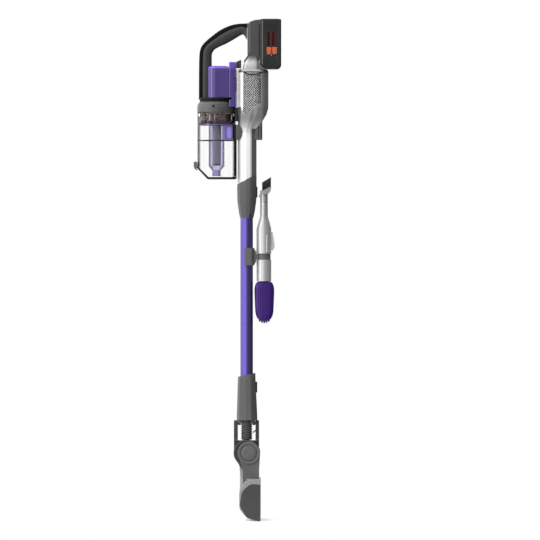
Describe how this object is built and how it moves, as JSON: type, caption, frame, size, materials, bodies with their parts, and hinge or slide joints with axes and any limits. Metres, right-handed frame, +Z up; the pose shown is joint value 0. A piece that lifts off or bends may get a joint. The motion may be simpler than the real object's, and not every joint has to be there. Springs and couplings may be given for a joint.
{
  "type": "cordless stick vacuum cleaner",
  "caption": "Cordless stick vacuum with a looped grip, clear front dust bin, rear battery, straight wand with clipped-on accessories and a swivelling floor head.",
  "frame": {"origin": "middle of the bounding box in X and Y, at the floor head's lowest edge, with the machine hanging straight", "axes": "+Z up along the wand, -Y towards the dust bin (the front), +Y towards the battery and the head's sole, +X to the right-hand side as the user holds it facing -Y's opposite; the two sides are near mirror images"},
  "size_m": [0.264, 0.2099, 1.201],
  "materials": {
    "silver_plastic": "satin silver paint on ABS",
    "grey_plastic": "fine matt texture",
    "dark_plastic": "fine matt texture",
    "purple_plastic": "metallic satin",
    "purple_metal": "anodised, satin",
    "grip_rubber": "soft touch",
    "seal_rubber": "matt",
    "clear_bin": "clear moulded polycarbonate, stood in for by glass",
    "clear_tube": "smoked polycarbonate, stood in for by glass",
    "orange_plastic": "gloss",
    "orange_button": "satin",
    "steel_mesh": "fine perforated sheet",
    "filter_white": "pleated filter medium",
    "pale_plastic": "satin",
    "bristle_black": "dense nylon tufts",
    "roll_pile": "soft nylon pile",
    "board_green": "solder mask",
    "motor_metal": "machined",
    "screw_steel": "zinc plated",
    "cell_wrap": "heat-shrink wrap",
    "pad_rubber": "soft nubs",
    "tyre_rubber": "matt",
    "duct_clear": "translucent grey"
  },
  "bodies": {
    "handheld": {"body_shell_left": "silver_plastic", "body_shell_right": "silver_plastic", "vent_grilles": "silver_plastic", "motor_dome": "silver_plastic", "column_housing": "grey_plastic", "body_screws": "screw_steel", "control_board": "board_green", "grip_overmould": "grip_rubber", "handle_frame": "grey_plastic", "filter_cover": "purple_plastic", "pre_motor_filter": "filter_white", "filter_spine": "purple_plastic", "inlet_duct": "dark_plastic", "inlet_gasket": "seal_rubber", "nose_back": "grey_plastic", "motor_can": "motor_metal", "exhaust_filter": "filter_white"},
    "power_button": {"power_button": "pale_plastic"},
    "mode_button": {"mode_button": "pale_plastic"},
    "fan": {"impeller": "motor_metal"},
    "battery": {"battery_case": "dark_plastic", "battery_cells": "cell_wrap"},
    "battery_button_left": {"battery_button_left": "orange_button"},
    "battery_button_right": {"battery_button_right": "orange_button"},
    "bin": {"bin_shell": "clear_bin", "bin_collar": "grey_plastic", "filter_basket": "orange_plastic", "cyclone_hood": "purple_plastic", "cyclone_tube": "clear_tube", "mesh_screen": "steel_mesh", "inlet_chute": "purple_plastic", "bin_rail": "dark_plastic"},
    "bin_door": {"bin_door": "clear_bin"},
    "bin_latch": {"bin_latch": "grey_plastic"},
    "bin_release": {"bin_release": "dark_plastic"},
    "wand": {"wand_collar": "grey_plastic", "wand_tube": "purple_metal"},
    "wand_catch": {"wand_catch": "pale_plastic"},
    "clip": {"tool_clip": "grey_plastic"},
    "crevice_tool": {"crevice_nozzle": "silver_plastic"},
    "nozzle_slider": {"nozzle_slider": "pale_plastic"},
    "dusting_brush": {"dusting_collar": "silver_plastic", "dusting_bristles": "bristle_black"},
    "pet_tool": {"pet_tube": "silver_plastic", "pet_cover": "purple_plastic", "pet_pad": "pad_rubber"},
    "neck": {"neck_collar": "grey_plastic", "neck_hose": "seal_rubber"},
    "neck_catch": {"neck_catch": "pale_plastic"},
    "yoke": {"yoke": "grey_plastic"},
    "head": {"head_shell": "grey_plastic", "head_base": "dark_plastic", "head_duct": "duct_clear", "end_caps": "dark_plastic", "pivot_caps": "grey_plastic", "drive_motor": "motor_metal"},
    "brush_roll": {"roll_core": "grey_plastic", "roll_bristles": "roll_pile"},
    "wheel_left": {"wheel_left": "tyre_rubber"},
    "wheel_right": {"wheel_right": "tyre_rubber"}
  },
  "joints": [
    {"name": "battery_slide", "type": "slide", "parent": "handheld", "child": "battery", "axis": [0, 0, 1], "range_m": [0, 0.08]},
    {"name": "battery_press_left", "type": "slide", "parent": "battery", "child": "battery_button_left", "axis": [1, 0, 0], "range_m": [0, 0.002], "stiffness_N_per_m": 450, "springref_m": -0.002},
    {"name": "battery_press_right", "type": "slide", "parent": "battery", "child": "battery_button_right", "axis": [-1, 0, 0], "range_m": [0, 0.002], "stiffness_N_per_m": 450, "springref_m": -0.002},
    {"name": "power_press", "type": "slide", "parent": "handheld", "child": "power_button", "axis": [0, 0, -1], "range_m": [0, 0.002], "stiffness_N_per_m": 450, "springref_m": -0.002},
    {"name": "mode_press", "type": "slide", "parent": "handheld", "child": "mode_button", "axis": [0, 0, -1], "range_m": [0, 0.002], "stiffness_N_per_m": 450, "springref_m": -0.002},
    {"name": "fan_spin", "type": "hinge", "parent": "handheld", "child": "fan", "pos_m": [0, 0.0376, 1], "axis": [0, 0, 1], "continuous": true},
    {"name": "bin_release_press", "type": "slide", "parent": "handheld", "child": "bin_release", "axis": [0, 0, -1], "range_m": [0, 0.003], "stiffness_N_per_m": 450, "springref_m": -0.003},
    {"name": "bin_slide", "type": "slide", "parent": "handheld", "child": "bin", "axis": [0, 0, -1], "range_m": [0, 0.2]},
    {"name": "bin_door_hinge", "type": "hinge", "parent": "bin", "child": "bin_door", "pos_m": [0, -0.0038, 0.82], "axis": [1, 0, 0], "range_deg": [0, 80]},
    {"name": "bin_latch_hinge", "type": "hinge", "parent": "bin", "child": "bin_latch", "pos_m": [0, -0.0989, 0.854], "axis": [-1, 0, 0], "range_deg": [0, 15], "stiffness_Nm_per_rad": 0.06, "springref_deg": -14.32},
    {"name": "wand_slide", "type": "slide", "parent": "handheld", "child": "wand", "axis": [0, 0, -1], "range_m": [0, 0.07]},
    {"name": "wand_catch_press", "type": "slide", "parent": "wand", "child": "wand_catch", "axis": [0, -1, 0], "range_m": [0, 0.002], "stiffness_N_per_m": 450, "springref_m": -0.002},
    {"name": "clip_slide", "type": "slide", "parent": "wand", "child": "clip", "axis": [0, 0, 1], "range_m": [-0.03, 0.01]},
    {"name": "crevice_slide", "type": "slide", "parent": "clip", "child": "crevice_tool", "axis": [0, 0, 1], "range_m": [0, 0.045]},
    {"name": "slider_slide", "type": "slide", "parent": "crevice_tool", "child": "nozzle_slider", "axis": [0, 0, 1], "range_m": [0, 0.002]},
    {"name": "brush_slide", "type": "slide", "parent": "crevice_tool", "child": "dusting_brush", "axis": [0, 0, -1], "range_m": [0, 0.03]},
    {"name": "pet_slide", "type": "slide", "parent": "clip", "child": "pet_tool", "axis": [0, 0, -1], "range_m": [0, 0.05]},
    {"name": "neck_slide", "type": "slide", "parent": "wand", "child": "neck", "axis": [0, 0, -1], "range_m": [0, 0.05]},
    {"name": "neck_catch_press", "type": "slide", "parent": "neck", "child": "neck_catch", "axis": [0, -1, 0], "range_m": [0, 0.002], "stiffness_N_per_m": 450, "springref_m": -0.002},
    {"name": "steer", "type": "hinge", "parent": "neck", "child": "yoke", "pos_m": [0, 0.022, 0.232], "axis": [0, 1, 0], "range_deg": [-40, 40], "deforming": ["neck_hose"]},
    {"name": "tilt", "type": "hinge", "parent": "yoke", "child": "head", "pos_m": [0, 0.0274, 0.1608], "axis": [-1, 0, 0], "range_deg": [0, 85]},
    {"name": "roll_spin", "type": "hinge", "parent": "head", "child": "brush_roll", "pos_m": [0, 0.034, 0.0325], "axis": [1, 0, 0], "continuous": true},
    {"name": "wheel_spin_left", "type": "hinge", "parent": "head", "child": "wheel_left", "pos_m": [-0.098, 0.0474, 0.084], "axis": [1, 0, 0], "continuous": true},
    {"name": "wheel_spin_right", "type": "hinge", "parent": "head", "child": "wheel_right", "pos_m": [0.098, 0.0474, 0.084], "axis": [1, 0, 0], "continuous": true}
  ]
}
